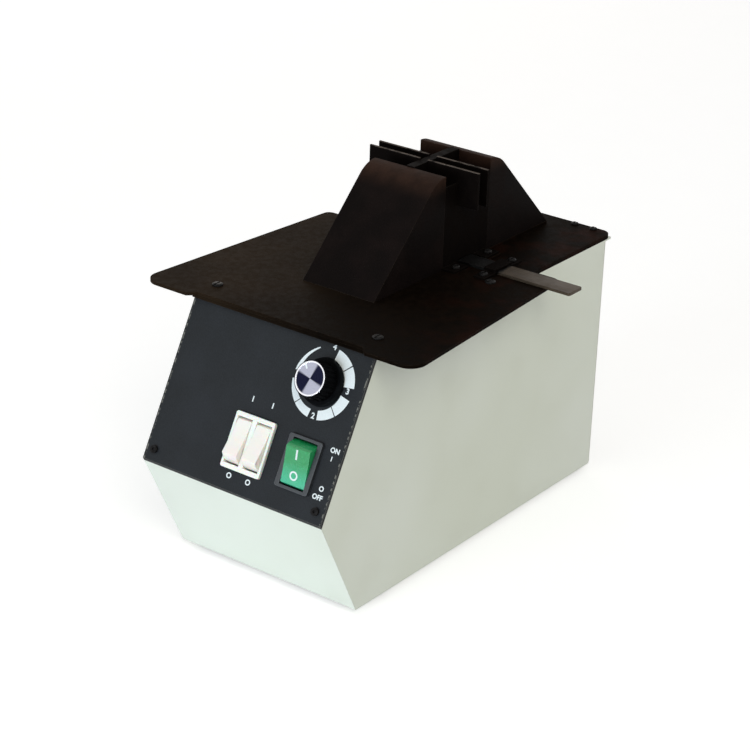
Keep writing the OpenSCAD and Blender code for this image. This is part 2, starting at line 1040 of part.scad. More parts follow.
// Ribbed grip on a skirt, hollow over the nut, with a seat for the cap
module knob() {
    grip_h = knob_h - knob_gap - skirt_t;
    grip_taper = atan((grip_foot_d - grip_d) / 2 / grip_h);
    hollow_h = nut_t + 1.2;
    color("black")
        on_panel(knob_u, knob_v)
            translate([0, 0, knob_gap])
                difference() {
                    union() {
                        cylinder(d1 = skirt_d, d2 = skirt_d - 1.4, h = skirt_t);
                        translate([0, 0, skirt_t - eps])
                            cylinder(d1 = grip_foot_d, d2 = grip_d, h = grip_h + eps);
                    }
                    for (i = [0:knob_ribs - 1])
                        rotate([0, 0, (i + 0.5) * 360 / knob_ribs])
                            translate([grip_foot_d / 2, 0, skirt_t])
                                rotate([0, -grip_taper, 0])
                                    translate([rib_d * 0.12, 0, rib_end])
                                        cylinder(d = rib_d, h = grip_h - 2 * rib_end);
                    translate([0, 0, -eps])
                        cylinder(d = nut_w / cos(30) + 1.4, h = hollow_h);
                    cylinder(d = spindle_d + 2 * fit, h = spindle_out - knob_gap + fit);
                    translate([0, 0, knob_h - knob_gap - cap_t])
                        cylinder(d = cap_d + 2 * fit, h = cap_t + 1);
                    rotate([0, 0, pointer_lean])
                        translate([-pointer_w / 2, grip_foot_d / 2 + 0.3, skirt_t - 0.5])
                            cube([pointer_w, 4, 2]);
                }
}

module knob_cap() {
    color("silver")
        on_panel(knob_u, knob_v)
            translate([0, 0, knob_h - cap_t])
                difference() {
                    cylinder(d = cap_d, h = cap_t + 0.4);
                    translate([0, 0, cap_t + 0.1])
                        cylinder(d = cap_d - 1.4, h = 1);
                }
}

// ---- Rocker switches ----

function opening_w(rocker_w) = rocker_w + 2 * rocker_gap;

// Frame with its body, open from the front for rockers of width rocker_w at the places across
module switch_frame(w, h, rocker_w, places) {
    last = places[len(places) - 1];
    span = 2 * last + opening_w(rocker_w);
    trunnion_reach = opening_w(rocker_w) / 2 + trunnion_l;
    difference() {
        union() {
            linear_extrude(rim_t)
                rounded_box(w, h, 1.2);
            translate([-span / 2 - switch_wall, -opening_h / 2 - switch_wall, -switch_depth])
                cube([span + 2 * switch_wall, opening_h + 2 * switch_wall, switch_depth + eps]);
        }
        for (x = places)
            translate([x, 0, rocker_axis]) {
                translate([-opening_w(rocker_w) / 2, -opening_h / 2, -rocker_pocket])
                    cube([opening_w(rocker_w), opening_h, rocker_pocket + 2 * rim_t - rocker_axis]);
                rod_x(trunnion_d + 2 * fit, -trunnion_reach, trunnion_reach);
            }
    }
}

// Rocker about its trunnions, with the end at side (1 the upper, -1 the lower) standing out
module rocker(rocker_w, side) {
    trunnion_reach = opening_w(rocker_w) / 2 + trunnion_l - fit;
    translate([0, 0, rocker_axis])
        rotate([side * rocker_throw / 2, 0, 0]) {
            along_x(rocker_w)
                difference() {
                    intersection() {
                        circle(r = rocker_reach);
                        translate([-rocker_reach, -rocker_drop])
                            square([2 * rocker_reach, rocker_drop + rocker_face]);
                    }
                    translate([0, rocker_face - rocker_dish + rocker_dish_r])
                        circle(r = rocker_dish_r);
                }
            rod_x(trunnion_d, -trunnion_reach, trunnion_reach);
        }
}

module terminals(columns, rows, pitch_u, pitch_v) {
    for (i = [0:columns - 1], j = [0:rows - 1])
        translate([(i - (columns - 1) / 2) * pitch_u, (j - (rows - 1) / 2) * pitch_v, -switch_depth])
            translate([-terminal_t / 2, -terminal_w / 2, -terminal_l])
                cube([terminal_t, terminal_w, terminal_l]);
}

module white_switch() {
    color("white")
        on_panel(white_u, white_v)
            switch_frame(white_w, white_h, white_rocker_w, [-white_pitch / 2, white_pitch / 2]);
}

module white_rocker(side) {
    color("ivory")
        on_panel(white_u + side * white_pitch / 2, white_v)
            rocker(white_rocker_w, -1);
}

module white_rocker_left() {
    white_rocker(-1);
}

module white_rocker_right() {
    white_rocker(1);
}

module white_terminals() {
    color("goldenrod")
        on_panel(white_u, white_v)
            terminals(2, 3, 10, 8);
}

module green_switch() {
    color([0.15, 0.15, 0.16])
        on_panel(green_u, green_v)
            switch_frame(green_w, green_h, green_rocker_w, [0]);
}

module green_rocker() {
    color([0.2, 0.65, 0.4])
        on_panel(green_u, green_v)
            rocker(green_rocker_w, 1);
}

module green_terminals() {
    color("goldenrod")
        on_panel(green_u, green_v)
            terminals(2, 2, 8, 9);
}

// ---- Heater ----

module heater_duct() {
    top = lid_z - duct_z;
    color("silver")
        at_slot(duct_z)
            difference() {
                union() {
                    linear_extrude(top)
                        square([scroll_w + 2 * sheet, duct_d + 2 * sheet], center = true);
                    for (z = [0, top - sheet])
                        translate([0, 0, z])
                            linear_extrude(sheet)
                                square(
                                    [scroll_w + 2 * (sheet + duct_flange), duct_d + 2 * sheet],
                                    center = true
                                );
                }
                translate([0, 0, -1])
                    linear_extrude(top + 2)
                        square([scroll_w, duct_d], center = true);
                translate([0, 0, top])
                    duct_screw_places()
                        screw_hole(3, d = 2);
                duct_screw_places()
                    screw_hole(3, d = 2);
            }
}

module duct_screw_places() {
    for (side = [-1, 1], end = [-1, 1])
        translate([side * duct_screw_x, end * duct_screw_y, 0])
            children();
}

module duct_screws() {
    color("gray") {
        at_slot(lid_z - sheet)
            duct_screw_places()
                mirror([0, 0, 1])
                    screw(sheet + lid_t - 0.4, d = 2, head_d = 4, head_t = 1.2);
        at_slot(duct_z + sheet)
            duct_screw_places()
                screw(2 * sheet + 0.6, d = 2, head_d = 4, head_t = 1.2);
    }
}

// Two crossed cards; the wire lies in notches along their edges
module heater_cards() {
    half = card_h / 2;
    color([0.8, 0.76, 0.62])
        at_slot(card_z)
            difference() {
                union() {
                    translate([-scroll_x + slack, -card_t / 2, 0])
                        cube([scroll_w - 2 * slack, card_t, card_h]);
                    translate([-card_t / 2, -duct_d / 2 + slack, 0])
                        cube([card_t, duct_d - 2 * slack, card_h]);
                }
                for (i = [1:heater_turns])
                    translate([0, 0, i * turn_pitch])
                        rotate_extrude()
                            translate([coil_r - wire_d / 2 - fit, -wire_d / 2 - fit])
                                square([scroll_w, wire_d + 2 * fit]);
            }
}

module heater_coil() {
    link_h = turn_pitch * (heater_turns - 1);
    color("gray")
        at_slot(card_z) {
            for (i = [1:heater_turns])
                translate([0, 0, i * turn_pitch])
                    rotate_extrude()
                        translate([coil_r, 0])
                            circle(d = wire_d, $fn = 16);
            rotate([0, 0, 45])
                translate([coil_r, 0, turn_pitch])
                    cylinder(d = wire_d, h = link_h, $fn = 16);
        }
}

module thermal_cutout() {
    color("dimgray")
        at_slot(card_z + card_h / 2)
            translate([0, -duct_d / 2 - sheet, 0])
                rotate([90, 0, 0]) {
                    cylinder(d = cutout_d, h = cutout_t);
                    linear_extrude(0.8)
                        slot_2d(cutout_d + 2 * cutout_ear, cutout_strap_w);
                    for (side = [-1, 1])
                        translate([side * 3 - 2, -terminal_t / 2, cutout_t - eps])
                            cube([4, terminal_t, terminal_l]);
                }
}

// ---- Blower ----

// Side view of the scroll's air space, grown by g: quarter arcs whose radius grows by one step
// each quarter turn, and the straight neck up to the duct
module scroll_space(g) {
    quarter(0, 0, scroll_r + g, [1, 1]);
    quarter(0, 0, scroll_r + g, [-1, 1]);
    quarter(-scroll_step, 0, scroll_r + scroll_step + g, [1, -1]);
    quarter(-scroll_step, scroll_step, scroll_r + 2 * scroll_step + g, [-1, -1]);
    translate([-scroll_reach - g, 0])
        square([duct_d + 2 * g, neck_h]);
    translate([-scroll_step, -eps])
        square([scroll_step + eps, scroll_r / 2]);
}

// A quarter disc about (y, z), on the side that way points to
module quarter(y, z, r, way) {
    translate([y, z])
        intersection() {
            circle(r = r);
            translate([way[0] > 0 ? -eps : -r, way[1] > 0 ? -eps : -r])
                square(r + eps);
        }
}

module scroll_flange() {
    translate([-scroll_x - sheet - duct_flange, -scroll_reach - sheet, neck_h])
        cube([duct_flange + sheet, duct_d + 2 * sheet, sheet]);
}

// Foot of a side plate, down to the base, turned out to the left
module scroll_foot() {
    drop = shaft_z - base_z - sheet;
    translate([-scroll_x - sheet, -scroll_step - foot_w / 2, -drop])
        cube([sheet, foot_w, drop - scroll_r]);
    translate([-scroll_x - sheet - foot_x, -scroll_step - foot_w / 2, -drop])
        cube([foot_x + sheet, foot_w, sheet]);
}

module scroll_screw_places() {
    for (side = [-1, 1], end = [-1, 1])
        translate([
            side * (scroll_x + sheet + foot_x * 0.55),
            shaft_y - scroll_step + end * foot_w * 0.3,
            0
        ])
            children();
}

module scroll_foot_holes() {
    translate([0, -shaft_y, base_z + 2 * sheet - shaft_z])
        scroll_screw_places()
            screw_hole(3);
}

// The curved wall with the motor's side plate
module scroll() {
    color("silver")
        at_shaft()
            difference() {
                union() {
                    along_x(scroll_w)
                        difference() {
                            scroll_space(sheet);
                            scroll_space(0);
                        }
                    translate([-scroll_x - sheet / 2, 0, 0])
                        along_x(sheet)
                            scroll_space(sheet);
                    scroll_flange();
                    scroll_foot();
                }
                translate([0, -scroll_reach, neck_h - eps])
                    translate([-scroll_x, 0, 0])
                        cube([scroll_w, duct_d, 2 * sheet]);
                rod_x(shaft_d + 4, -scroll_w, 0);
                stud_places()
                    rod_x(stud_d + 2 * fit, -scroll_w, 0);
                scroll_foot_holes();
                translate([0, slot_y - shaft_y, neck_h])
                    duct_screw_places()
                        screw_hole(3, d = 2);
            }
}

// The intake's side plate, with a turned-in mouth
module scroll_cover() {
    mouth = 2;
    color("silver")
        at_shaft()
            difference() {
                union() {
                    translate([scroll_x + sheet / 2, 0, 0])
                        along_x(sheet)
                            scroll_space(sheet);
                    mirror([1, 0, 0]) {
                        scroll_flange();
                        scroll_foot();
                    }
                    rod_x(intake_d + 2 * sheet, scroll_x - mouth, scroll_x + sheet);
                }
                rod_x(intake_d, 0, scroll_w);
                translate([-scroll_x, -scroll_reach, neck_h - eps])
                    cube([scroll_w, duct_d, 2 * sheet]);
                scroll_foot_holes();
                translate([0, slot_y - shaft_y, neck_h])
                    duct_screw_places()
                        screw_hole(3, d = 2);
            }
}

module scroll_screws() {
    color("gray")
        scroll_screw_places()
            translate([0, 0, base_z + 2 * sheet])
                screw(2 * sheet + 1);
}

// Forward-curved blades between a driven disc and a rim
module blower_wheel() {
    wheel_r = wheel_d / 2;
    left = -wheel_l / 2;
    color("steelblue")
        at_shaft()
            rotate([0, 90, 0])
                difference() {
                    union() {
                        translate([0, 0, left])
                            cylinder(r = wheel_r, h = disc_t);
                        translate([0, 0, left])
                            cylinder(d = wheel_hub_d, h = wheel_l * 0.6);
                        for (z = [left, -left - disc_t])
                            translate([0, 0, z])
                                wheel_ring(wheel_r, disc_t);
                        for (i = [0:blades - 1])
                            rotate([0, 0, i * 360 / blades])
                                blade(wheel_r, left);
                    }
                    translate([0, 0, -wheel_l])
                        cylinder(d = shaft_d + 2 * fit, h = 2 * wheel_l);
                }
}

module wheel_ring(r, h) {
    difference() {
        cylinder(r = r, h = h);
        translate([0, 0, -1])
            cylinder(r = r - wheel_rim, h = h + 2);
    }
}

// A blade spans the rim's width along an arc
module blade(wheel_r, left) {
    translate([wheel_r - wheel_rim / 2 - 1.2, blade_r * 0.72, left + disc_t / 2])
        rotate([0, 0, -90 - blade_sweep / 2 + 18])
            rotate_extrude(angle = blade_sweep - 14)
                translate([blade_r - blade_t / 2, 0])
                    square([blade_t, wheel_l - disc_t]);
}

// ---- Motor ----

module stud_places() {
    for (side = [-1, 1])
        translate([0, side * stud_r, 0])
            children();
}

// Laminated frame: one bore for the rotor, one window for the coil
module motor_stack() {
    color("dimgray")
        at_shaft()
            difference() {
                translate([(stack_left + stack_right) / 2, 0, 0])
                    along_x(stack_t)
                        difference() {
                            translate([-stack_w / 2, -stack_foot])
                                square([stack_w, stack_foot + stack_top]);
                            translate([-stack_w / 2 + limb, rotor_d / 2 + 4])
                                square([stack_w - 2 * limb, stack_top - limb - rotor_d / 2 - 4]);
                        }
                rod_x(rotor_d + 2 * air_gap, stack_left - 1, stack_right + 1);
                stud_places()
                    rod_x(stud_d + 2 * fit, stack_left - 1, stack_right + 1);
            }
}

module motor_coil() {
    limb_gap = 0.2;
    coil_w = stack_w - 2 * limb - 4;
    middle = (stack_left + stack_right) / 2;
    color([0.6, 0.3, 0.15])
        at_shaft()
            difference() {
                translate([middle, 0, stack_top - limb / 2])
                    cube([stack_t + 2 * coil_wall, coil_w, limb + 2 * coil_wall], center = true);
                translate([middle, 0, stack_top - limb / 2])
                    cube([stack_t + 2 * limb_gap, coil_w + 2, limb + 2 * limb_gap], center = true);
            }
}

// A strap on each face of the stack, with a bearing boss on the shaft
module motor_brackets() {
    strap_h = 13;
    color("silver")
        at_shaft()
            for (face = [-1, 1]) {
                near = face > 0 ? stack_right : stack_left;
                far = near + face * (bracket_t + boss_l);
                difference() {
                    union() {
                        translate([near + face * bracket_t / 2, 0, 0])
                            along_x(bracket_t)
                                slot_2d(2 * stud_r + strap_h, strap_h);
                        rod_x(boss_d, min(near, far), max(near, far));
                    }
                    rod_x(shaft_d + 2 * fit, min(near, far) - 1, max(near, far) + 1);
                    stud_places()
                        rod_x(stud_d + 2 * fit, min(near, far) - 1, max(near, far) + 1);
                }
            }
}

module motor_studs() {
    nut_x = stack_left - bracket_t;
    plate_x = -scroll_x - sheet;
    color("gray")
        at_shaft()
            stud_places() {
                rod_x(stud_d, nut_x - stud_nut_t - 1, -scroll_x);
                rod_x(stud_d + 3, stack_right + bracket_t, plate_x);
                translate([nut_x - stud_nut_t, 0, 0])
                    rotate([0, 90, 0])
                        cylinder(d = stud_nut_w / cos(30), h = stud_nut_t, $fn = 6);
            }
}

module rotor() {
    color("lightgray")
        at_shaft()
            difference() {
                rod_x(rotor_d, stack_left, stack_right);
                rod_x(shaft_d + 2 * fit, stack_left - 1, stack_right + 1);
            }
}

module shaft() {
    color("silver")
        at_shaft()
            rod_x(shaft_d, shaft_left, shaft_right);
}

// ---- Mains inlet ----

module inlet_screw_places() {
    for (side = [-1, 1])
        translate([inlet_x + side * inlet_screw_pitch / 2, cab_d + sheet, inlet_z])
            rotate([-90, 0, 0])
                children();
}

// Socket whose recess is bevelled at two corners
module mains_inlet() {
    half_w = recess_w / 2;
    half_h = recess_h / 2;
    color("black")
        difference() {
            union() {
                translate([inlet_x, cab_d + sheet, inlet_z])
                    to_back(inlet_flange_t)
                        rounded_box(inlet_flange_w, inlet_flange_h, 3);
                translate([inlet_x, cab_d + sheet - inlet_depth, inlet_z])
                    to_back(inlet_depth + eps)
                        square([inlet_w, inlet_h], center = true);
            }
            translate([inlet_x, cab_d + sheet + inlet_flange_t - recess_depth, inlet_z])
                to_back(recess_depth + 1)
                    polygon([
                        [-half_w, -half_h], [half_w, -half_h], [half_w, half_h - recess_bevel],
                        [half_w - recess_bevel, half_h], [recess_bevel - half_w, half_h],
                        [-half_w, half_h - recess_bevel]
                    ]);
            for (i = [-1:1])
                inlet_pin(i, 2 * fit);
            inlet_screw_places()
                screw_hole(8);
        }
}

// One flat pin; the middle one stands higher
module inlet_pin(i, grow) {
    rise = pin_rise + (i == 0 ? pin_h : -pin_h / 2);
    front = cab_d + sheet - inlet_depth - terminal_l;
    length = inlet_depth + terminal_l + inlet_flange_t - recess_depth + pin_l - 6;
    translate([
        inlet_x + i * pin_pitch - (pin_w + grow) / 2,
        front,
        inlet_z + rise - (pin_h + grow) / 2
    ])
        cube([pin_w + grow, length, pin_h + grow]);
}

module inlet_pins() {
    color("goldenrod")
        for (i = [-1:1])
            inlet_pin(i, 0);
}

module inlet_screws() {
    color("dimgray")
        translate([0, inlet_flange_t, 0])
            inlet_screw_places()
                screw(inlet_flange_t + sheet + 3);
}

cabinet();
base_plate();
base_screws();
feet();
back_panel();
back_screws();
control_panel();
panel_screws();
lid();
lid_screws();
shelf();
shelf_screws();
front_hood();
rear_hood();
hood_screws();
chimney_left();
chimney_right();
chimney_screws();
fin_front();
fin_rear();
fin_bridge();
damper();
lever_guide();
guide_screws();
speed_control();
control_nut();
control_shaft();
knob();
knob_cap();
white_switch();
white_rocker_left();
white_rocker_right();
white_terminals();
green_switch();
green_rocker();
green_terminals();
heater_duct();
duct_screws();
heater_cards();
heater_coil();
thermal_cutout();
scroll();
scroll_cover();
scroll_screws();
blower_wheel();
motor_stack();
motor_coil();
motor_brackets();
motor_studs();
rotor();
shaft();
mains_inlet();
inlet_pins();
inlet_screws();
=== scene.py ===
"""Counter-top frame warmer: painted cabinet, black panel, wide dark shelf and slotted outlet tower."""

import math

import bmesh
import bpy
from mathutils import Matrix, Vector
from mathutils.bvhtree import BVHTree


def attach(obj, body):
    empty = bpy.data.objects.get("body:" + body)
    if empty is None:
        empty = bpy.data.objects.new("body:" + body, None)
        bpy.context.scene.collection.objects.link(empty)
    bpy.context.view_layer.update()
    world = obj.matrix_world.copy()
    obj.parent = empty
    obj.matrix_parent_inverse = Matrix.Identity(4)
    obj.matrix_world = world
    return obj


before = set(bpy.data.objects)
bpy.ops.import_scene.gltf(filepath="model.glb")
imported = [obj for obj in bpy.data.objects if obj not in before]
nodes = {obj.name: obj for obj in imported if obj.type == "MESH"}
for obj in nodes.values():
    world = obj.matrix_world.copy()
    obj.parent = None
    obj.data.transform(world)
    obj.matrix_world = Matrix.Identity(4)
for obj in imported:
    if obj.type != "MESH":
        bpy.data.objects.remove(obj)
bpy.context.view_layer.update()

# ---- Base plate, ducts and brackets ----
# Pressed from zinc-plated sheet: the tray under the cabinet, the spiral blower housing with its cover,
# the heater duct and the motor's brackets. The plating has frozen in dull and bright crystals.


class Wire:
    """One value in a finish. Arithmetic on it adds the Math nodes that work it out."""

    def __init__(self, finish, socket):
        self.finish = finish
        self.socket = socket

    def _math(self, operation, left, right):
        return self.finish.node("ShaderNodeMath", {"operation": operation}, {0: left, 1: right})

    def __add__(self, other):
        return self._math("ADD", self, other)

    def __radd__(self, other):
        return self._math("ADD", other, self)

    def __sub__(self, other):
        return self._math("SUBTRACT", self, other)

    def __rsub__(self, other):
        return self._math("SUBTRACT", other, self)

    def __mul__(self, other):
        return self._math("MULTIPLY", self, other)

    def __rmul__(self, other):
        return self._math("MULTIPLY", other, self)

    def __truediv__(self, other):
        return self._math("DIVIDE", self, other)

    def __pow__(self, other):
        return self._math("POWER", self, other)


class Finish:
    """A material for one finish of the object, and the few things that every finish is mixed from."""

    def __init__(self, name, **fixed):
        self.material = bpy.data.materials.new(name)
        self.material.use_nodes = True
        self.tree = self.material.node_tree
        self.shader = self.tree.nodes["Principled BSDF"]
        for socket, value in fixed.items():
            self.shader.inputs[socket.replace("_", " ")].default_value = value

    def node(self, kind, settings=None, sockets=None, out=0):
        made = self.tree.nodes.new(kind)
        for setting, value in (settings or {}).items():
            setattr(made, setting, value)
        for socket, value in (sockets or {}).items():
            self.plug(made.inputs[socket], value)
        return Wire(self, made.outputs[out])

    def plug(self, socket, value):
        if isinstance(value, Wire):
            self.tree.links.new(value.socket, socket)
        else:
            socket.default_value = value

    def feed(self, **values):
        for socket, value in values.items():
            self.plug(self.shader.inputs[socket.replace("_", " ")], value)

    def place(self, stretch=(1, 1, 1)):
        where = self.node("ShaderNodeTexCoord", out="Object")
        return self.node("ShaderNodeVectorMath", {"operation": "MULTIPLY"}, {0: where, 1: stretch})

    def axis(self, letter):
        return self.node("ShaderNodeSeparateXYZ", {}, {0: self.place()}, out=letter)

    def cloud(self, scale, low=0.35, high=0.65, detail=4.0, stretch=(1, 1, 1)):
        sockets = {"Vector": self.place(stretch), "Scale": scale, "Detail": detail}
        return self.ramp(self.node("ShaderNodeTexNoise", {}, sockets), low, high)

    def ramp(self, value, low, high):
        sockets = {"Value": value, "From Min": low, "From Max": high}
        return self.node("ShaderNodeMapRange", {"interpolation_type": "SMOOTHSTEP"}, sockets)

    def mix(self, share, first, second):
        return self.node("ShaderNodeMix", {"data_type": "RGBA"}, {0: share, 6: first, 7: second}, out=2)

    def rounded(self, radius):
        return self.node("ShaderNodeBevel", {"samples": 6}, {"Radius": radius})

    def along(self, vector, direction):
        sockets = {0: vector, 1: direction}
        return self.node("ShaderNodeVectorMath", {"operation": "DOT_PRODUCT"}, sockets, out="Value")

    def past(self, point):
        return self.node("ShaderNodeVectorMath", {"operation": "SUBTRACT"}, {0: self.place(), 1: point})

    def folds(self, radius):
        rounded = self.rounded(radius)
        flat = self.node("ShaderNodeNewGeometry", out="Normal")
        return self.ramp(1 - self.along(rounded, flat), 0.01, 0.12)

    def bump(self, height, depth, over=None):
        sockets = {"Strength": 1.0, "Distance": depth, "Height": height}
        if over is not None:
            sockets["Normal"] = over
        return self.node("ShaderNodeBump", {}, sockets)


def tint(red, green, blue):
    """A colour as a paint chart gives it, 0 to 255, as the shader's own linear light."""
    share = [value / 255 for value in (red, green, blue)]
    return tuple(v / 12.92 if v <= 0.04045 else ((v + 0.055) / 1.055) ** 2.4 for v in share) + (1.0,)


def dress(finish, *names):
    for name in names:
        for slot in nodes[name].material_slots:
            slot.material = finish.material


zinc = Finish("zinc_plate", Metallic=1.0)
crystals = zinc.node("ShaderNodeTexVoronoi", {}, {"Vector": zinc.place(), "Scale": 190.0}, out="Color")
crystal = zinc.node("ShaderNodeSeparateXYZ", {}, {0: crystals}, out="X")
smear = zinc.cloud(60.0)
plating = zinc.mix(crystal, tint(150, 153, 154), tint(188, 190, 188))
zinc.feed(
    Base_Color=zinc.mix(zinc.folds(0.0004) * 0.5, plating, tint(206, 206, 202)),
    Roughness=0.3 + crystal * 0.14 + smear * 0.1,
    Normal=zinc.bump(zinc.cloud(420.0), 0.00002, over=zinc.rounded(0.0004)),
)
dress(zinc, "base_plate", "heater_duct", "scroll", "scroll_cover", "motor_brackets")

# ---- Feet ----
# Four low pads of black rubber, punched from sheet and pressed into the base plate.
# The rubber is dull and picks up a grey bloom of dust where it meets the counter.

rubber = Finish("foot_rubber", Specular_IOR_Level=0.35)
bloom = rubber.cloud(240.0, 0.45, 0.7)
rubber.feed(
    Base_Color=rubber.mix(bloom * 0.6, tint(26, 26, 27), tint(58, 56, 53)),
    Roughness=0.78 + bloom * 0.15,
    Normal=rubber.bump(rubber.cloud(1500.0), 0.00005, over=rubber.rounded(0.0005)),
)
dress(rubber, "feet")

# ---- Cabinet and back panel ----
# Folded sheet steel with a sprayed and stoved coat in a cool off-white that yellows a little with age.
# The coat has a fine orange peel, pulls thin on the folds, and gathers a faint film of handling marks.

enamel = Finish("cabinet_enamel", Coat_Roughness=0.22, Coat_IOR=1.45)
age = enamel.cloud(9.0, 0.3, 0.75, detail=2.0)
film = enamel.cloud(34.0, 0.48, 0.78, detail=6.0)
peel = enamel.cloud(1150.0, 0.2, 0.8, detail=2.0)
fold = enamel.folds(0.0007)
coat = enamel.mix(age, tint(224, 229, 218), tint(218, 223, 208))
coat = enamel.mix(film * 0.1, coat, tint(196, 196, 184))
enamel.feed(
    Base_Color=enamel.mix(fold * 0.35, coat, tint(200, 199, 190)),
    Roughness=0.4 + film * 0.12 + age * 0.05,
    Coat_Weight=0.3 - film * 0.15,
    Normal=enamel.bump(peel, 0.000022, over=enamel.rounded(0.0007)),
)
dress(enamel, "cabinet", "back_panel")

# ---- Blower wheel ----
# A drum of curved blades moulded in one piece with its disc, in a grey heat-proof plastic.
# Fine flow lines run along the drum, and dust settles on the blades' edges.

wheel = Finish("wheel_plastic")
flow = wheel.cloud(300.0, 0.3, 0.7, stretch=(0.15, 1, 1))
dust = wheel.cloud(120.0, 0.45, 0.75)
wheel.feed(
    Base_Color=wheel.mix(dust * 0.5 + wheel.folds(0.0003) * 0.4, tint(58, 61, 64), tint(118, 116, 110)),
    Roughness=0.5 + flow * 0.15,
    Normal=wheel.bump(flow, 0.00003, over=wheel.rounded(0.0003)),
)
dress(wheel, "blower_wheel")

# ---- Motor ----
# A shaded-pole motor: a riveted stack of thin steel sheets, varnished brown, round a winding of
# enamelled copper wire. The rotor has the same sheets, and its ends are cast aluminium.

stack = Finish("motor_stack", Metallic=0.85)
sheets = stack.node(
    "ShaderNodeTexWave",
    {"wave_type": "BANDS", "bands_direction": "X"},
    {"Vector": stack.place(), "Scale": 330.0, "Distortion": 0.6, "Detail": 2.0},
    out="Fac",
)
varnish = stack.cloud(70.0)
stack.feed(
    Base_Color=stack.mix(varnish, tint(92, 84, 76), tint(126, 122, 118)),
    Roughness=0.38 + varnish * 0.25,
    Normal=stack.bump(sheets, 0.00009, over=stack.rounded(0.0003)),
)
dress(stack, "motor_stack", "rotor")

winding = Finish("copper_winding", Metallic=0.9, Coat_Roughness=0.15)
turns = winding.node(
    "ShaderNodeTexWave",
    {"wave_type": "BANDS", "bands_direction": "Z"},
    {"Vector": winding.place(), "Scale": 420.0, "Distortion": 1.2, "Detail": 2.0},
    out="Fac",
)
winding.feed(
    Base_Color=winding.mix(turns, tint(108, 50, 24), tint(196, 112, 62)),
    Roughness=0.32 + winding.cloud(200.0) * 0.2,
    Coat_Weight=0.5 + turns * 0.3,
    Normal=winding.bump(turns, 0.00012),
)
dress(winding, "motor_coil")

# ---- Heater ----
# Coiled resistance wire on crossed cards of mica board, in the duct under the slot.
# The wire has oxidised to a dull grey-brown, and the cards show pressed flakes and some scorching.

mica = Finish("mica_board", Specular_IOR_Level=0.6)
flakes = mica.node("ShaderNodeTexVoronoi", {}, {"Vector": mica.place(), "Scale": 420.0}, out="Color")
flake = mica.node("ShaderNodeSeparateXYZ", {}, {0: flakes}, out="X")
scorch = mica.cloud(110.0, 0.5, 0.8)
board = mica.mix(flake, tint(168, 146, 104), tint(206, 188, 148))
mica.feed(
    Base_Color=mica.mix(scorch * 0.6, board, tint(84, 62, 42)),
    Roughness=0.35 + flake * 0.3,
    Normal=mica.bump(flake, 0.00005),
)
dress(mica, "heater_cards")

hot_wire = Finish("heater_wire", Metallic=1.0)
oxide = hot_wire.cloud(500.0)
hot_wire.feed(
    Base_Color=hot_wire.mix(oxide, tint(112, 104, 98), tint(146, 128, 108)),
    Roughness=0.42 + oxide * 0.2,
    Normal=hot_wire.bump(hot_wire.cloud(2200.0), 0.00002),
)
dress(hot_wire, "heater_coil")

# ---- Control panel ----
# A plate of sheet steel in fine-textured black enamel, flush between the cabinet's sides and leaning
# back. The spray leaves soft specks, and along both sides the edge is rubbed through in short dashes.

PANEL_FOOT = Vector((0, -0.0300, 0.0620))
PANEL_BROW = Vector((0, 0.0105, 0.1385))
PANEL_TILT = math.atan2(PANEL_BROW.y - PANEL_FOOT.y, PANEL_BROW.z - PANEL_FOOT.z)
PANEL_UP = Vector((0, math.sin(PANEL_TILT), math.cos(PANEL_TILT)))
PANEL_OUT = Vector((0, -math.cos(PANEL_TILT), math.sin(PANEL_TILT)))

# How far out from the middle the worn line begins, is whole, starts to fade and ends
WORN_LINE = (0.0562, 0.0566, 0.0569, 0.0572)

panel = Finish("panel_enamel", Specular_IOR_Level=0.2)
specks = panel.cloud(1700.0, 0.35, 0.7, detail=2.0)
blotch = panel.cloud(45.0, 0.3, 0.75)
beside = panel.axis("X") ** 2
begins, whole, fades, ends = (half**2 for half in WORN_LINE)
side_line = panel.ramp(beside, begins, whole) * (1 - panel.ramp(beside, fades, ends))
wear = panel.folds(0.0005) * 0.35 + side_line * panel.cloud(620.0, 0.46, 0.58, detail=2.0) * 0.5
face = panel.mix(blotch, tint(14, 17, 20), tint(22, 25, 29))
face = panel.mix(specks * 0.13, face, tint(62, 65, 68))
panel.feed(
    Base_Color=panel.mix(wear, face, tint(150, 148, 138)),
    Roughness=0.5 + specks * 0.14,
    Normal=panel.bump(specks, 0.00004, over=panel.rounded(0.0004)),
)
dress(panel, "control_panel")


def on_panel(across, up, out=0.0):
    """A point on the panel's face, in millimetres from the middle of its lower edge."""
    return PANEL_FOOT + Vector((across, 0, 0)) / 1000 + PANEL_UP * (up / 1000) + PANEL_OUT * (out / 1000)


# ---- Printed dial and switch marks ----
# Screen-printed white ink: a scale that widens from the cool end round to the warm end, with plain
# numbers at the quarter turns, and generic marks by the switches. The ink stands a hair proud.

# Across and up the panel from the middle of its lower edge, in millimetres: the knob's axis, and the
# printed ring's own middle, which lies a little off it
DIAL = (33.3, 66.06)
RING = (33.2, 65.55)
RING_OUTER = 18.15
RING_START, RING_END = 26, 350
RING_THIN, RING_GROWTH = 0.5, 6.9
INK = 0.035

ink = Finish("white_ink", Specular_IOR_Level=0.4)
cover = ink.cloud(2600.0, 0.3, 0.6)
ink.feed(
    Base_Color=ink.mix(cover * 0.35, tint(228, 234, 234), tint(200, 206, 208)),
    Roughness=0.55 + cover * 0.15,
    Normal=ink.bump(cover, 0.00001),
)


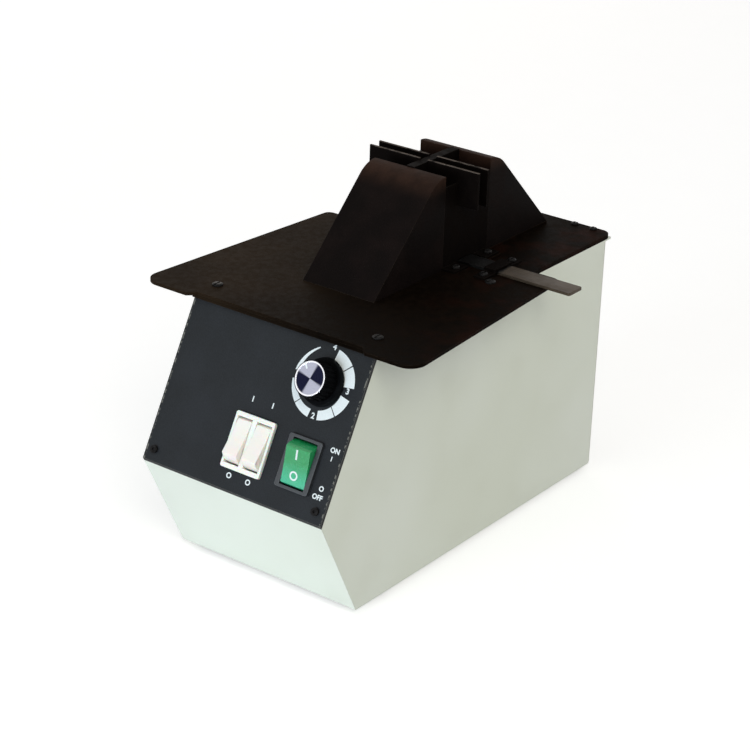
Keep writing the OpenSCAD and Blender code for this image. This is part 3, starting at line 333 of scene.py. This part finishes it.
def solid(name, outline, at, body):
    """A film of ink on a flat outline of small faces; at() places each of its points."""
    mesh = bmesh.new()
    corners = {}
    for ring in outline:
        made = []
        for corner in ring:
            key = (round(corner[0], 5), round(corner[1], 5))
            if key not in corners:
                corners[key] = mesh.verts.new(key + (0,))
            made.append(corners[key])
        if len(set(made)) > 2:
            mesh.faces.new(made)
    bmesh.ops.recalc_face_normals(mesh, faces=mesh.faces)
    grown = bmesh.ops.extrude_face_region(mesh, geom=mesh.faces[:], use_keep_orig=True)
    for item in grown["geom"]:
        if isinstance(item, bmesh.types.BMVert):
            item.co.z = INK
    bmesh.ops.recalc_face_normals(mesh, faces=mesh.faces)
    for vertex in mesh.verts:
        vertex.co = at(*vertex.co)
    data = bpy.data.meshes.new(name)
    mesh.to_mesh(data)
    mesh.free()
    data.materials.append(ink.material)
    piece = bpy.data.objects.new(name, data)
    bpy.context.scene.collection.objects.link(piece)
    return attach(piece, body)


def dial_width(turn):
    """The ring's width at that turn, in degrees anticlockwise from straight up."""
    return RING_THIN + RING_GROWTH * ((turn - RING_START) / (RING_END - RING_START)) ** 0.75


def dial_sector(start, end):
    steps = max(3, round((end - start) / 3))
    turns = [start + (end - start) * i / steps for i in range(steps + 1)]

    def spot(turn, radius):
        angle = math.radians(turn)
        return (RING[0] - radius * math.sin(angle), RING[1] + radius * math.cos(angle))

    rims = [(spot(turn, RING_OUTER), spot(turn, RING_OUTER - dial_width(turn))) for turn in turns]
    return [(a[0], b[0], b[1], a[1]) for a, b in zip(rims, rims[1:])]


SECTORS = [
    (RING_START, 83),
    (97, 136.2),
    (137.8, 171),
    (189, 221.6),
    (223.4, 257),
    (277, 311.8),
    (314, RING_END),
]

for number, (start, end) in enumerate(SECTORS):
    sector = solid(f"dial_sector_{number + 1}", dial_sector(start, end), on_panel, "housing")

# Height of a capital letter as a share of the type's size
CAPITAL = 0.72


def letters(name, text, across, up, height, bold, at=on_panel, body="housing"):
    """Plain letters or figures of that cap height, centred on a point of the panel."""
    curve = bpy.data.curves.new(name + "_curve", "FONT")
    curve.body = text
    curve.size = height / CAPITAL
    curve.offset = bold
    curve.align_x = "CENTER"
    curve.align_y = "CENTER"
    curve.resolution_u = 6
    draft = bpy.data.objects.new(name + "_draft", curve)
    bpy.context.scene.collection.objects.link(draft)
    filled = draft.evaluated_get(bpy.context.evaluated_depsgraph_get())
    flat = bpy.data.meshes.new_from_object(filled)
    spots = [(vertex.co.x + across, vertex.co.y + up) for vertex in flat.vertices]
    outline = [[spots[i] for i in face.vertices] for face in flat.polygons]
    bpy.data.objects.remove(draft)
    bpy.data.meshes.remove(flat)
    solid(name, outline, at, body)


for name, text, across, up, height in [
    ("dial_1", "1", DIAL[0] - 16.3, 66.3, 2.8),
    ("dial_2", "2", 33.4, DIAL[1] - 17.1, 2.9),
    ("dial_3", "3", DIAL[0] + 14.9, 65.5, 2.9),
    ("dial_4", "4", 33.4, DIAL[1] + 17.8, 2.9),
    ("mark_on", "ON", 52.0, 36.6, 2.5),
    ("mark_on_line", "I", 51.4, 32.4, 2.2),
    ("mark_off_ring", "O", 51.2, 17.2, 2.5),
    ("mark_off", "OFF", 50.4, 12.8, 2.5),
    ("mark_left_line", "I", -3.4, 46.8, 2.8),
    ("mark_right_line", "I", 9.2, 46.8, 2.8),
    ("mark_left_ring", "O", -3.2, 7.2, 2.8),
    ("mark_right_ring", "O", 8.9, 7.2, 2.8),
]:
    letters(name, text, across, up, height, 0.13)

# ---- Rotary control and knob ----
# A ribbed knob in dull black thermoset plastic, its skirt greyed by dust, with a light pointer on top.
# A spun aluminium disc with a polished rim is set in it; its four-part fan of light is a painted reflection.

knob_black = Finish("knob_black", Specular_IOR_Level=0.02)
bloomed = knob_black.cloud(160.0, 0.4, 0.75)
lift = knob_black.along(knob_black.past(PANEL_FOOT), PANEL_OUT)
dusty = 1 - knob_black.ramp(lift, 0.0024, 0.0034)
knob_body = knob_black.mix(dusty * (0.75 + bloomed * 0.25), tint(3, 3, 4), tint(16, 18, 20))
knob_black.feed(
    Base_Color=knob_black.mix(knob_black.folds(0.00025) * 0.04 + bloomed * 0.04, knob_body, tint(70, 70, 74)),
    Roughness=0.5 + bloomed * 0.16,
    Normal=knob_black.bump(knob_black.cloud(2400.0), 0.000008, over=knob_black.rounded(0.00025)),
)
dress(knob_black, "knob")

PAINTED_FAN_TURN = math.radians(121)
spun = Finish("spun_aluminium", Metallic=1.0)
from_axis = spun.past(on_panel(*DIAL))
across = spun.node("ShaderNodeSeparateXYZ", {}, {0: from_axis}, out="X")
along = spun.along(from_axis, PANEL_UP)
radius = (across**2 + along**2) ** 0.5
painted_bright_axis = across * math.cos(PAINTED_FAN_TURN) + along * math.sin(PAINTED_FAN_TURN)
painted_dark_axis = along * math.cos(PAINTED_FAN_TURN) - across * math.sin(PAINTED_FAN_TURN)
# The disc's colour is split into bright and dark sectors: a painted reflection of the fan of light its rings
# throw.
painted_fan_reflection = spun.ramp((painted_bright_axis**2 - painted_dark_axis**2) / (radius**2), -0.24, 0.24)
fine = {"W": radius, "Scale": 9000.0, "Detail": 2.0}
rings = spun.node("ShaderNodeTexNoise", {"noise_dimensions": "1D"}, fine)
grain = spun.ramp(rings, 0.3, 0.7)
painted_dark_reflection = spun.mix(grain, tint(12, 11, 32), tint(36, 38, 60))
painted_bright_reflection = spun.mix(grain, tint(152, 152, 168), tint(184, 184, 196))
polished = spun.ramp(radius, 0.00775, 0.00795)
spun.feed(
    Base_Color=spun.mix(polished, spun.mix(painted_fan_reflection, painted_dark_reflection, painted_bright_reflection), tint(248, 248, 252)),
    Roughness=0.3 + grain * 0.1 - polished * 0.1,
    Normal=spun.rounded(0.00015),
)
dress(spun, "knob_cap")

steel = Finish("turned_steel", Metallic=1.0)
scratch = steel.cloud(800.0, 0.3, 0.7, stretch=(0.2, 1, 1))
steel.feed(
    Base_Color=steel.mix(scratch, tint(168, 168, 166), tint(196, 196, 194)),
    Roughness=0.3 + scratch * 0.12,
    Normal=steel.bump(scratch, 0.00002, over=steel.rounded(0.0002)),
)
dress(steel, "speed_control", "control_nut", "control_shaft", "shaft", "motor_studs")

# The pointer: a line of light paint over the disc's face and on over its rim. In millimetres: half the
# line's width, where the rim begins, and how far the face and the rim stand out from the panel
POINTER = math.radians(40)
POINTER_HALF = 0.45
CAP_RIM_START = 7.9
CAP_FACE, CAP_RIM = 12.1, 12.4


def on_pointer(side, reach, out):
    step = CAP_FACE if reach < CAP_RIM_START else CAP_RIM
    across = DIAL[0] + side * math.cos(POINTER) - reach * math.sin(POINTER)
    up = DIAL[1] + side * math.sin(POINTER) + reach * math.cos(POINTER)
    return on_panel(across, up, out + step)


for name, start, end in [("pointer_line", 5.3, 7.86), ("pointer_tip", 7.94, 8.56)]:
    near, far = -POINTER_HALF, POINTER_HALF
    line = [(near, start), (far, start), (far, end), (near, end)]
    solid(name, [line], on_pointer, "knob_group")

# ---- White double switch ----
# A snap-in switch in glossy white plastic, with two narrow rockers side by side in one frame.
# The moulding is smooth, with softly rounded edges and a slight warm tone in its gaps.

white = Finish(
    "white_moulding",
    Subsurface_Weight=0.45,
    Subsurface_Scale=0.003,
    Coat_Roughness=0.15,
    Coat_Weight=0.12,
)
cast = white.cloud(90.0, 0.35, 0.7)
white.feed(
    Base_Color=white.mix(cast * 0.4, tint(243, 237, 229), tint(239, 233, 223)),
    Roughness=0.3 + cast * 0.08,
    Normal=white.bump(white.cloud(1800.0), 0.000006, over=white.rounded(0.0005)),
)
dress(white, "white_switch", "white_rocker_left", "white_rocker_right")

# ---- Green power switch ----
# A single rocker moulded in clear-tinted green plastic, its lower end painted paler as painted light, in a
# black frame with a lighter, rounded rim. The line and ring on it are printed white.

bezel = Finish("bezel_black", Coat_Roughness=0.18)
matt = bezel.cloud(1400.0, 0.35, 0.65)
rim = bezel.folds(0.0005)
bezel.feed(
    Base_Color=bezel.mix(rim * 0.45, tint(40, 43, 46), tint(104, 108, 114)),
    Roughness=0.4 + matt * 0.1,
    Coat_Weight=0.15 + rim * 0.15,
    Normal=bezel.bump(matt, 0.00001, over=bezel.rounded(0.0005)),
)
dress(bezel, "green_switch", "thermal_cutout", "mains_inlet")

green = Finish(
    "green_moulding",
    Subsurface_Weight=0.35,
    Subsurface_Radius=(0.3, 1.0, 0.6),
    Subsurface_Scale=0.002,
    Coat_Weight=0.4,
    Coat_Roughness=0.1,
)
# The rocker is painted paler towards its lower end: painted light where its proud end catches more lamp
# light.
painted_light_lower_end = 1 - green.ramp(green.axis("Z"), 0.0755, 0.0875)
depth = green.cloud(260.0, 0.3, 0.7)
green_with_painted_light = green.mix(painted_light_lower_end, tint(22, 146, 82), tint(58, 181, 139))
green.feed(
    Base_Color=green.mix(depth * 0.18, green_with_painted_light, tint(30, 140, 84)),
    Roughness=0.24 + depth * 0.08,
    Normal=green.bump(depth, 0.00001, over=green.rounded(0.0005)),
)
dress(green, "green_rocker")

moulding = nodes["green_rocker"].data
corners = [vertex.co for vertex in moulding.vertices]
green_skin = BVHTree.FromPolygons(corners, [face.vertices for face in moulding.polygons])
WELL_CLEAR = 20


def on_green(across, up, out):
    """A point on the rocker's curved face, found straight down from above the panel."""
    hit = green_skin.ray_cast(on_panel(across, up, WELL_CLEAR), -PANEL_OUT)[0]
    return hit + PANEL_OUT * (out / 1000)


letters("green_line", "I", 34.8, 28.6, 4.7, 0.2, at=on_green, body="green_rocker")
letters("green_ring", "O", 35.0, 18.3, 4.5, 0.12, at=on_green, body="green_rocker")

# ---- Contacts ----
# Stamped brass tabs behind the two switches, and the three pins of the mains inlet.
# The brass has tarnished unevenly.

brass = Finish("contact_brass", Metallic=1.0)
tarnish = brass.cloud(260.0)
brass.feed(
    Base_Color=brass.mix(tarnish, tint(204, 170, 96), tint(158, 124, 66)),
    Roughness=0.26 + tarnish * 0.2,
    Normal=brass.bump(tarnish, 0.00001, over=brass.rounded(0.0002)),
)
dress(brass, "white_terminals", "green_terminals", "inlet_pins")

# ---- Lid and shelf ----
# Steel plates in matt heat-proof black that has gone brown with years of warm air and handling.
# The tapered shelf on top is rubbed along its edges and mottled where frames were laid on it.

shelf = Finish("shelf_black", Specular_IOR_Level=0.012)
stain = shelf.cloud(22.0, 0.3, 0.75, detail=5.0)
mottle = shelf.cloud(260.0, 0.35, 0.7, detail=5.0)
grit = shelf.cloud(1300.0, 0.35, 0.7, detail=2.0)
rub = shelf.folds(0.0006) * shelf.cloud(380.0, 0.3, 0.65)
scorch = shelf.ramp(shelf.axis("X") + shelf.axis("Y") * 0.5, 0.06, 0.14) * shelf.cloud(55.0, 0.45, 0.7)
# The shelf is painted lighter brown towards its left end: a painted sheen of the lamp's light.
painted_left_sheen = 1 - shelf.ramp(shelf.axis("X"), -0.07, 0.03)
ground = shelf.mix(stain, tint(7, 4, 2), tint(13, 8, 5))
ground = shelf.mix(painted_left_sheen * (0.55 + stain * 0.45), ground, tint(42, 32, 22))
ground = shelf.mix(scorch * 0.45, ground, tint(46, 20, 12))
ground = shelf.mix(mottle * 0.08, ground, tint(50, 39, 29))
shelf.feed(
    Base_Color=shelf.mix(rub * 0.3, ground, tint(70, 58, 48)),
    Roughness=0.5 + mottle * 0.12 + grit * 0.08,
    Normal=shelf.bump(grit * 0.6 + mottle * 0.4, 0.00003, over=shelf.rounded(0.0005)),
)
dress(shelf, "lid", "shelf")

# ---- Outlet tower ----
# Two folded hoods, sprayed matt black; the crests are heat-browned in soft patches under a painted highlight.
# Their end plates, the fins with the bar across them and the lever's guide are scorched blacker.

tower = Finish("tower_black", Specular_IOR_Level=0.03)
crest_top = max(vertex.co.z for vertex in nodes["rear_hood"].data.vertices)
# The band along the top is painted lighter brown: a painted highlight where the crests face the light.
lit_crest_band = tower.ramp(tower.axis("Z"), crest_top - 0.01, crest_top - 0.0005)
crest_highlight_and_browning = lit_crest_band * (0.5 + tower.cloud(90.0, 0.3, 0.7) * 0.5)
powder = tower.cloud(1500.0, 0.35, 0.7, detail=2.0)
haze = tower.cloud(70.0, 0.35, 0.8, detail=3.0)
edge = tower.folds(0.0005) * tower.cloud(500.0, 0.25, 0.6)
skin = tower.mix(haze * 0.4, tint(12, 8, 7), tint(30, 22, 20))
skin = tower.mix(crest_highlight_and_browning * 0.5, skin, tint(70, 49, 39))
tower.feed(
    Base_Color=tower.mix(edge * 0.2, skin, tint(88, 74, 64)),
    Roughness=0.55 + haze * 0.12 + powder * 0.08,
    Normal=tower.bump(powder, 0.00004, over=tower.rounded(0.0006)),
)
dress(tower, "front_hood", "rear_hood")

scorched = Finish("scorched_black", Specular_IOR_Level=0.02)
soot = scorched.cloud(160.0, 0.35, 0.75)
fin_crest = max(vertex.co.z for vertex in nodes["fin_front"].data.vertices)
# A thin band along the fins' top edges is painted lighter: a painted highlight; the faint lighter folds are
# worn edges.
painted_fin_highlight = scorched.ramp(scorched.axis("Z"), fin_crest - 0.0003, fin_crest - 0.0001)
fin_highlight_and_worn_edges = painted_fin_highlight * scorched.cloud(240.0, 0.25, 0.6) * 0.85 + scorched.folds(0.0003) * 0.06
scorched.feed(
    Base_Color=scorched.mix(fin_highlight_and_worn_edges, scorched.mix(soot, tint(8, 5, 4), tint(13, 9, 7)), tint(104, 94, 87)),
    Roughness=0.6 + soot * 0.2,
    Normal=scorched.bump(soot, 0.00003, over=scorched.rounded(0.0004)),
)
dress(scorched, "chimney_left", "chimney_right", "fin_front", "fin_rear", "lever_guide", "fin_bridge")

# ---- Damper and its lever ----
# One strip of cold-rolled steel, left bare: it slides under the tower to shut the air ports.
# Fingers keep its outer end a bare warm grey; the part at the tower is painted near black, a painted shadow.

strip = Finish("bare_strip", Metallic=0.75)
drawn = strip.cloud(900.0, 0.3, 0.7, stretch=(0.06, 1, 1))
dull = strip.cloud(80.0, 0.3, 0.75)
sheared = strip.folds(0.0004)
metal = strip.mix(drawn, tint(62, 52, 41), tint(77, 65, 51))
metal = strip.mix(dull * 0.5, metal, tint(52, 43, 33))
metal = strip.mix(sheared * 0.5, metal, tint(44, 39, 33))
# The part nearer the tower than the guide is painted near black: a painted shadow cast by the tower.
scale = 1 - strip.ramp(strip.axis("X") + dull * 0.003, 0.0485, 0.0515)
strip.feed(
    Base_Color=strip.mix(scale, metal, tint(9, 7, 6)),
    Roughness=0.42 + dull * 0.18 + drawn * 0.08,
    Normal=strip.bump(drawn, 0.00003, over=strip.rounded(0.0004)),
)
dress(strip, "damper")

# ---- Screws ----
# Blackened screws hold the panels, the lid, the shelf and the tower.
# Plated ones hold the heater duct and the blower's housing inside.

screw_black = Finish("blackened_screw", Metallic=0.2, Specular_IOR_Level=0.12)
oil = screw_black.cloud(600.0)
bared = screw_black.folds(0.0002) * 0.2 + oil * 0.08
screw_black.feed(
    Base_Color=screw_black.mix(bared, tint(10, 8, 8), tint(84, 82, 80)),
    Roughness=0.36 + oil * 0.2,
    Normal=screw_black.bump(oil, 0.00001, over=screw_black.rounded(0.0002)),
)
dress(screw_black, "base_screws", "back_screws", "panel_screws", "lid_screws", "shelf_screws", "inlet_screws")
dress(screw_black, "hood_screws", "chimney_screws", "guide_screws")

screw_zinc = Finish("plated_screw", Metallic=1.0)
passivated = screw_zinc.cloud(420.0)
screw_zinc.feed(
    Base_Color=screw_zinc.mix(passivated, tint(172, 172, 168), tint(196, 190, 172)),
    Roughness=0.26 + passivated * 0.16,
    Normal=screw_zinc.bump(passivated, 0.00001, over=screw_zinc.rounded(0.0002)),
)
dress(screw_zinc, "duct_screws", "scroll_screws")

# ---- Counter, light and camera ----
# A plain pale counter under a wide soft lamp to the right, a cool one low in front, a faint warm one
# behind on the left, and the open room. The camera stands in front on the right, above the shelf.

bpy.ops.mesh.primitive_circle_add(vertices=96, radius=4.0, fill_type="NGON", location=(0, 0.1, 0))
counter = bpy.context.object
counter.name = "counter"
GLOW = 0.46
pale_top = Finish("pale_counter", Specular_IOR_Level=0.1)
seen = pale_top.node("ShaderNodeLightPath", out="Is Camera Ray")
mirrored = pale_top.node("ShaderNodeLightPath", out="Is Glossy Ray")
through = pale_top.node("ShaderNodeLightPath", out="Is Transmission Ray")
paper = pale_top.cloud(30.0)
pale_top.feed(
    Base_Color=pale_top.mix(paper * 0.2, tint(236, 236, 236), tint(232, 232, 232)),
    Roughness=0.8,
)
brightness = (seen + mirrored + through) * GLOW
glow = pale_top.node("ShaderNodeEmission", {}, {"Color": (1, 1, 1, 1), "Strength": brightness})
both = pale_top.node("ShaderNodeAddShader", {}, {0: Wire(pale_top, pale_top.shader.outputs[0]), 1: glow})
pale_top.plug(pale_top.tree.nodes["Material Output"].inputs["Surface"], both)
counter.data.materials.append(pale_top.material)

room = bpy.data.worlds.new("room")
bpy.context.scene.world = room
room.use_nodes = True
tree = room.node_tree
background = tree.nodes["Background"]
background.inputs["Color"].default_value = (1, 1, 1, 1)
path = tree.nodes.new("ShaderNodeLightPath")

# The room lights the object at ROOM_LIGHT, and shows as plain white by itself and in mirrors
ROOM_LIGHT, PLAIN_WHITE = 0.45, 1.0
strength = tree.nodes.new("ShaderNodeMapRange")
strength.inputs["To Min"].default_value = ROOM_LIGHT
strength.inputs["To Max"].default_value = PLAIN_WHITE
shown = path.outputs["Is Camera Ray"]
for ray in ("Is Glossy Ray", "Is Transmission Ray"):
    either = tree.nodes.new("ShaderNodeMath")
    either.operation = "MAXIMUM"
    tree.links.new(shown, either.inputs[0])
    tree.links.new(path.outputs[ray], either.inputs[1])
    shown = either.outputs[0]
tree.links.new(shown, strength.inputs["Value"])
tree.links.new(strength.outputs[0], background.inputs["Strength"])


def lamp(name, place, aim, size, power, colour):
    light = bpy.data.lights.new(name, "AREA")
    light.shape = "DISK"
    light.size = size
    light.energy = power
    light.color = colour
    holder = bpy.data.objects.new(name, light)
    bpy.context.scene.collection.objects.link(holder)
    holder.location = place
    holder.rotation_euler = (Vector(aim) - Vector(place)).to_track_quat("-Z", "Y").to_euler()


lamp("key", (1.3, -1.1, 1.5), (0, 0.08, 0.08), 1.1, 13.8, (1.0, 0.985, 0.88))
lamp("front", (-0.2, -1.8, 0.2), (0, 0, 0.05), 0.8, 23.0, (0.74, 0.87, 1.0))
lamp("sheen", (-1.3, 1.2, 0.75), (-0.02, 0.05, 0.14), 0.8, 2.5, (1.0, 0.9, 0.78))

# The camera's turn, its tilt down and its roll in radians, its place in metres, and its focal length
# in pixels of a square picture
AZIMUTH, HEIGHT, ROLL = 0.638088, 0.424779, 0.032481
CAMERA_PLACE = Vector((0.64762, -0.78599, 0.57654))
PICTURE, FOCAL, SENSOR = 750, 2269.2, 36.0
level_right = Vector((math.cos(AZIMUTH), math.sin(AZIMUTH), 0))
level_ahead = Vector((-math.sin(AZIMUTH), math.cos(AZIMUTH), 0))
ahead = level_ahead * math.cos(HEIGHT) - Vector((0, 0, math.sin(HEIGHT)))
level_up = level_right.cross(ahead)
right = level_right * math.cos(ROLL) + level_up * math.sin(ROLL)
up = level_up * math.cos(ROLL) - level_right * math.sin(ROLL)
camera_data = bpy.data.cameras.new("camera")
camera_data.sensor_width = SENSOR
camera_data.lens = FOCAL / PICTURE * SENSOR
camera = bpy.data.objects.new("camera", camera_data)
bpy.context.scene.collection.objects.link(camera)
aimed = Matrix((right, up, -ahead)).transposed().to_4x4()
camera.matrix_world = Matrix.Translation(CAMERA_PLACE) @ aimed
bpy.context.scene.camera = camera
bpy.context.scene.view_settings.view_transform = "Standard"
